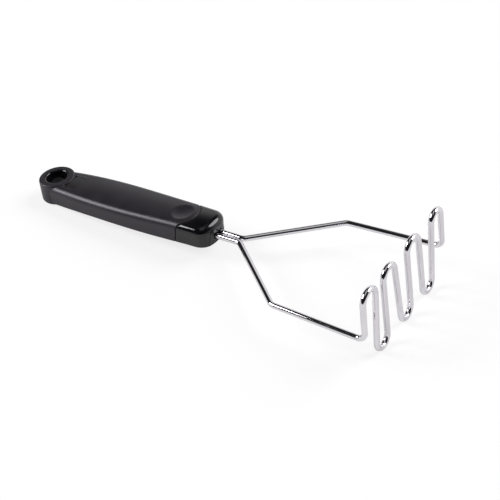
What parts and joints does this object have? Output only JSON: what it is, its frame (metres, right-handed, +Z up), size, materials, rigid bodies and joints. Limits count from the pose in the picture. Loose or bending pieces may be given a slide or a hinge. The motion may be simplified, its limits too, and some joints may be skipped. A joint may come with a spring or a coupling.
{
  "type": "potato masher",
  "caption": "Hand potato masher: a bent chromed wire frame with an upright serpentine head, in a soft-grip handle with a hanging hole.",
  "frame": {"origin": "on the table under the middle of the whole tool, as it lies at rest", "axes": "+X along the tool from the hanging eye to the wire head, +Y across the tool, +Z up"},
  "size_m": [0.2674, 0.0903, 0.0496],
  "materials": {
    "chromed_wire": "bright chrome plate on drawn steel wire",
    "hard_core": "polished black moulding",
    "soft_grip": "matte charcoal soft overmould with a fine texture",
    "nose_plug": "satin black moulding"
  },
  "bodies": {
    "root": {"masher_wire": "chromed_wire", "handle_core": "hard_core", "soft_grip": "soft_grip", "nose_plug": "nose_plug"}
  },
  "joints": []
}
